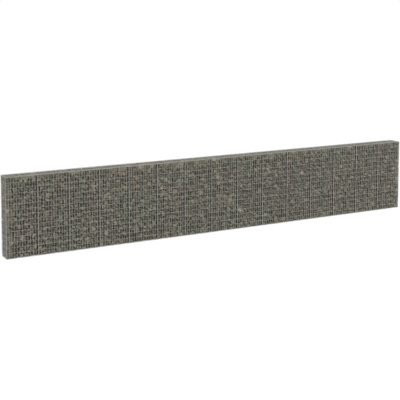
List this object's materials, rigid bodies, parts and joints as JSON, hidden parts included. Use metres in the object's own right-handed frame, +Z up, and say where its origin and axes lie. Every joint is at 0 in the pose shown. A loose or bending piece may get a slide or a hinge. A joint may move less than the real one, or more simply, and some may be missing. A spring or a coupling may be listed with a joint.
{
  "type": "gabion wall",
  "caption": "Long, thin free-standing gabion wall: a row of welded wire mesh cages laced together and packed with stone.",
  "frame": {"origin": "on the ground under the middle of the wall, midway along its length and depth", "axes": "+X along the wall's length, +Y through its depth from the front face to the back face, +Z up"},
  "size_m": [9, 0.3, 1.5],
  "materials": {
    "galvanised_wire": "dull zinc",
    "stone": "rough broken stone"
  },
  "bodies": {
    "root": {"back_mesh_01_02": "galvanised_wire", "back_mesh_03_04": "galvanised_wire", "back_mesh_05_06": "galvanised_wire", "back_mesh_07_08": "galvanised_wire", "back_mesh_09_10": "galvanised_wire", "back_mesh_11_12": "galvanised_wire", "back_mesh_13_14": "galvanised_wire", "back_mesh_15": "galvanised_wire", "base_mesh_01_05": "galvanised_wire", "base_mesh_06_10": "galvanised_wire", "base_mesh_11_15": "galvanised_wire", "cover_mesh_01_05": "galvanised_wire", "cover_mesh_06_10": "galvanised_wire", "cover_mesh_11_15": "galvanised_wire", "cross_ties": "galvanised_wire", "front_mesh_01_02": "galvanised_wire", "front_mesh_03_04": "galvanised_wire", "front_mesh_05_06": "galvanised_wire", "front_mesh_07_08": "galvanised_wire", "front_mesh_09_10": "galvanised_wire", "front_mesh_11_12": "galvanised_wire", "front_mesh_13_14": "galvanised_wire", "front_mesh_15": "galvanised_wire", "left_end_mesh": "galvanised_wire", "partitions_01_04": "galvanised_wire", "partitions_05_08": "galvanised_wire", "partitions_09_12": "galvanised_wire", "partitions_13_14": "galvanised_wire", "right_end_mesh": "galvanised_wire", "stone_fill_01": "stone", "stone_fill_02": "stone", "stone_fill_03": "stone", "stone_fill_04": "stone", "stone_fill_05": "stone", "stone_fill_06": "stone", "stone_fill_07": "stone", "stone_fill_08": "stone", "stone_fill_09": "stone", "stone_fill_10": "stone", "stone_fill_11": "stone", "stone_fill_12": "stone", "stone_fill_13": "stone", "stone_fill_14": "stone", "stone_fill_15": "stone"}
  },
  "joints": []
}
